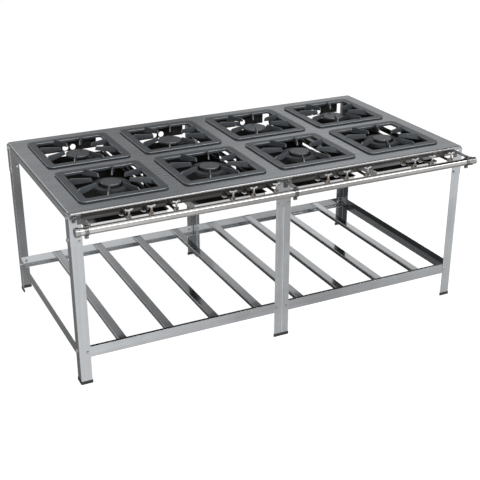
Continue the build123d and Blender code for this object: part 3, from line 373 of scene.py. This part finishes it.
def cast_iron():
    """Grey iron casting with a sandy skin, lighter and metallic on its edges and on faces that tilt between
    level and upright: partly worn bare, partly a painted highlight.
    """
    made = Finish("cast_iron", Specular_IOR_Level=0.45)
    sand = made.noise(cells=900.0, detail=2.0)
    lumps = made.noise(cells=160.0)
    clouds = made.noise(cells=14.0, detail=4.0)
    skin = made.shades(clouds, dark=0.046, light=0.068, tint=IRON_TINT)
    upward = made.axis(made.facing(), "Z")
    leaning = made.ranged(upward, start=0.15, end=0.4)
    level = made.ranged(upward, start=0.8, end=0.97)
    # Painted highlight: faces that tilt between level and upright get the lighter worn colour
    tilted_highlight = made.sums("SUBTRACT", leaning, level)
    rubbed_and_highlight = made.sums("MAXIMUM", made.edges(radius=0.002, full=0.3), tilted_highlight)
    made.colour(made.mixed(rubbed_and_highlight, skin, grey(0.3, RUBBED_HIGHLIGHT_TINT)))
    made.metal(made.sums("MULTIPLY", rubbed_and_highlight, RUBBED_HIGHLIGHT_METAL))
    made.roughness(made.ranged(lumps, low=0.26, high=0.38))
    made.round_edges(radius=0.003)
    made.bump(lumps, strength=0.2, depth=0.0006)
    made.bump(sand, strength=0.2, depth=0.0003)
    return made.material


def burner_iron():
    """Grey iron burners with a bright zinc air shutter round each front mouth."""
    made = Finish("burner_iron")
    sand = made.noise(cells=700.0, detail=2.0)
    clouds = made.noise(cells=20.0, detail=4.0)
    shutter = made.sums("LESS_THAN", made.axis(made.place, "Y"), SHUTTER_END)
    skin = made.shades(clouds, dark=0.026, light=0.044, tint=BURNER_TINT)
    zinc = made.shades(clouds, dark=0.6, light=0.75)
    made.colour(made.mixed(shutter, skin, zinc))
    made.metal(made.sums("MULTIPLY", shutter, SHUTTER_METAL))
    made.roughness(made.ranged(clouds, low=0.4, high=0.55))
    made.bump(sand, strength=0.3, depth=0.0003)
    return made.material


def dark_steel():
    """Mild steel sheet, coloured near black as painted shade under the table."""
    made = Finish("dark_steel", Metallic=0.6)
    clouds = made.noise(cells=18.0, detail=5.0)
    grain = made.noise(cells=400.0, detail=2.0)
    made.colour(made.mixed(made.ranged(clouds), grey(0.018, tint=0.02), grey(0.05, tint=0.04)))
    made.roughness(made.ranged(clouds, low=0.45, high=0.62))
    made.bump(grain, strength=0.15, depth=0.0003)
    return made.material


def plastic():
    """Black moulded plastic with a fine texture and some dust."""
    made = Finish("black_plastic", Specular_IOR_Level=0.4)
    grain = made.noise(cells=1200.0, detail=1.0)
    dust = made.noise(cells=60.0, detail=4.0)
    made.colour(made.mixed(made.ranged(dust, start=0.45, end=0.75), grey(0.012), grey(0.035)))
    made.roughness(made.ranged(dust, low=0.4, high=0.55))
    made.round_edges(radius=0.0008)
    made.bump(grain, strength=0.15, depth=0.0002)
    return made.material


def give(material, *nodes):
    """Puts a finish on CAD nodes, in place of the plain one that they come with."""
    for name in nodes:
        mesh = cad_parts[name].data
        mesh.materials.clear()
        mesh.materials.append(material)


def named(*words):
    """CAD nodes whose names hold one of these words."""
    return [name for name in sorted(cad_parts) if any(word in name for word in words)]


def frame_finishes():
    """The table, the legs and the shelf."""
    # The legs and the side rails get a painted shade on faces that look towards the table's centre
    legs = brushed_steel("leg_steel", ALONG_Z, dark=0.46, light=0.57, rough=0.22, inner_shade=0.18)
    plates = brushed_steel("plate_steel", ALONG_Z, dark=0.46, light=0.56, rough=0.14)
    long_rails = brushed_steel("long_rail_steel", ALONG_X, dark=0.44, light=0.57, rough=0.16)
    side_rails = brushed_steel("side_rail_steel", ALONG_Y, dark=0.36, light=0.48, rough=0.14, inner_shade=0.2)
    slats = brushed_steel("slat_steel", ALONG_Y, dark=0.4, light=0.54, rough=0.07)
    bolts = polished_metal("zinc_plate", ALONG_Z, dark=0.4, light=0.52, rough=0.16, tint=0.01)
    give(table_steel(), "tabletop")
    give(legs, "corner_legs", "middle_legs")
    give(plates, "leg_top_plates")
    give(long_rails, "front_shelf_rails", "back_shelf_rails")
    give(side_rails, "side_shelf_rails")
    give(slats, "shelf_slats")
    give(bolts, "frame_bolts")
    give(plastic(), "foot_caps")


def gas_finishes():
    """The gas tube with its fittings, and the valves."""
    tube = polished_metal("polished_tube", ALONG_X, dark=0.48, light=0.56, rough=0.06, tint=0.02)
    fittings = polished_metal("fitting_steel", ALONG_X, dark=0.3, light=0.42, rough=0.14, tint=0.02)
    clamps = polished_metal("clamp_steel", ALONG_Z, dark=0.16, light=0.26, rough=0.12, tint=0.02)
    brackets = polished_metal("dark_plate", ALONG_Y, dark=0.1, light=0.17, rough=0.14, tint=0.01)
    brass = polished_metal("valve_brass", ALONG_Y, dark=0.26, light=0.4, rough=0.2, tint=0.14)
    # Painted shade: the supply pipes are coloured near black
    pipes = polished_metal("pipe_steel", ALONG_Y, dark=0.06, light=0.11, rough=0.3, tint=0.03)
    nickel = polished_metal("nickel_plate", ALONG_X, dark=0.5, light=0.62, rough=0.1, tint=0.02)
    give(tube, "gas_tube")
    give(fittings, "tube_plug", "gas_inlet")
    give(clamps, *named("clamp"))
    give(brackets, "tube_brackets")
    give(brass, "valve_bodies", "injectors")
    give(pipes, "supply_pipes")
    give(nickel, *named("_valve_handle_"))


def burner_finishes():
    """The burners, the grates, and the sheets and trays below them."""
    give(burner_iron(), *named("_burners"))
    give(cast_iron(), *named("_grate_", "_cap_"))
    give(dark_steel(), "tray_runners", "side_bars", "side_plates", "burner_straps", "vent_plates")
    for tray in named("drip_tray_"):
        give(tray_steel(tray), tray)


def placed(name, data):
    """A new object in the scene."""
    made = bpy.data.objects.new(name, data)
    bpy.context.scene.collection.objects.link(made)
    return made


def block(name, low, high):
    """A box between two corners."""
    corners = [(x, y, z) for x in (low[0], high[0]) for y in (low[1], high[1]) for z in (low[2], high[2])]
    sides = [(0, 1, 3, 2), (4, 6, 7, 5), (0, 4, 5, 1), (2, 3, 7, 6), (0, 2, 6, 4), (1, 5, 7, 3)]
    mesh = bpy.data.meshes.new(name)
    mesh.from_pydata(corners, [], sides)
    return placed(name, mesh)


def rail_hems():
    """The top edges of the two front rails, folded back over the ends of the slats, and coloured near black
    as painted shade.
    """
    low, high = (Vector(corner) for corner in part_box("front_shelf_rails"))
    middle = (low.x + high.x) / 2
    front = low.y + HEM_SHEET
    # Painted shade: the hems are coloured near black
    finish = polished_metal("hem_steel", ALONG_X, dark=0.03, light=0.06, rough=0.2)
    spans = {
        "left": (low.x + HEM_END, middle - HEM_END),
        "right": (middle + HEM_END, high.x - HEM_END),
    }
    for side, (start, end) in spans.items():
        hem_low = (start, front, high.z - HEM_SHEET)
        hem_high = (end, front + HEM_DEPTH, high.z)
        hem = block("front_rail_hem_" + side, hem_low, hem_high)
        hem.data.materials.append(finish)
        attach(hem, "frame")


def floor():
    """A plain pale floor that glows, and that the steel doesn't mirror."""
    half = FLOOR_SIZE / 2
    corners = [(-half, -half, 0), (half, -half, 0), (half, half, 0), (-half, half, 0)]
    mesh = bpy.data.meshes.new("floor")
    mesh.from_pydata(corners, [], [(0, 1, 2, 3)])
    paper = Finish(
        "floor_paper",
        Base_Color=FLOOR_COLOUR,
        Roughness=FLOOR_ROUGHNESS,
        Specular_IOR_Level=FLOOR_SHINE,
        Emission_Color=WHITE,
        Emission_Strength=FLOOR_GLOW,
    )
    mesh.materials.append(paper.material)
    made = placed("floor", mesh)
    made.visible_glossy = False


def sky():
    """Light from all around, as the sum of the wall and the patches."""
    world = bpy.data.worlds.new("studio")
    bpy.context.scene.world = world
    made = Tree(world)
    way = made.node("ShaderNodeTexCoord").outputs["Generated"]
    ways = {"right": made.axis(way, "X"), "back": made.axis(way, "Y"), "up": made.axis(way, "Z")}
    ways["side"] = made.sums("ABSOLUTE", ways["right"])
    glow = WALL_GLOW
    for patch in SKY.values():
        patch_glow = patch["glow"]
        for ramp in patch["ramps"]:
            share = made.ranged(ways[ramp.way], ramp.before, ramp.after, ramp.start, ramp.end)
            patch_glow = made.sums("MULTIPLY", patch_glow, share)
        glow = made.sums("ADD", glow, patch_glow)
    backdrop = made.nodes["Background"]
    backdrop.inputs["Color"].default_value = WHITE
    made.connect(glow, backdrop.inputs["Strength"])


def lamps():
    """Soft lamps, which the camera doesn't see."""
    for name, values in LAMPS.items():
        light = bpy.data.lights.new(name, "AREA")
        light.shape = "RECTANGLE"
        light.size, light.size_y = values["size"]
        light.energy = values["glow"] * math.pi * light.size * light.size_y
        made = placed(name, light)
        made.location = values["place"]
        way = Vector(values["aim"]) - Vector(values["place"])
        made.rotation_euler = way.to_track_quat("-Z", "Y").to_euler()
        made.visible_camera = False
        made.visible_glossy = name not in UNMIRRORED


def camera():
    """The camera, which looks down on the stove from its front left."""
    lens = bpy.data.cameras.new("camera")
    lens.lens = CAMERA_LENS
    lens.sensor_width = CAMERA_SENSOR
    made = placed("camera", lens)
    made.location = CAMERA_PLACE
    made.rotation_euler = (math.radians(CAMERA_TILT), 0.0, math.radians(CAMERA_TURN))
    bpy.context.scene.camera = made


frame_finishes()
gas_finishes()
burner_finishes()
rail_hems()
floor()
sky()
lamps()
camera()
bpy.context.scene.view_settings.view_transform = "Standard"
